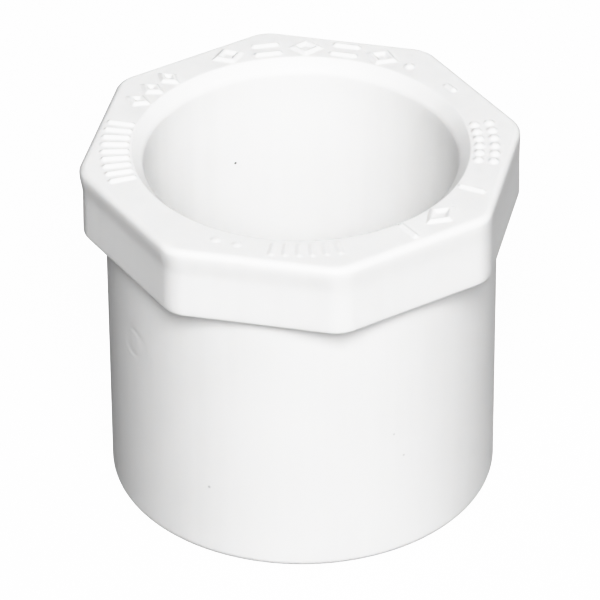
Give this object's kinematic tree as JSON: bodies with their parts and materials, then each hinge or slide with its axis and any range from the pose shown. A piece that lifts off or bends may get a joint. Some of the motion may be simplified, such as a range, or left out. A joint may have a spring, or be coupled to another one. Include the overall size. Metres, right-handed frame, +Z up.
{
  "type": "reducer bushing",
  "caption": "One-piece plastic pipe reducer bushing: a round spigot below an octagonal collar, with a smaller plain socket on the same axis.",
  "frame": {"origin": "centre of the spigot's end face, on the fitting's axis", "axes": "+Z up the axis and out of the socket's mouth, +X and +Y square to flat sides of the octagonal collar"},
  "size_m": [0.0354, 0.0354, 0.0322],
  "materials": {
    "white_pvc": "satin"
  },
  "bodies": {
    "root": {"reducer_bushing": "white_pvc"}
  },
  "joints": []
}
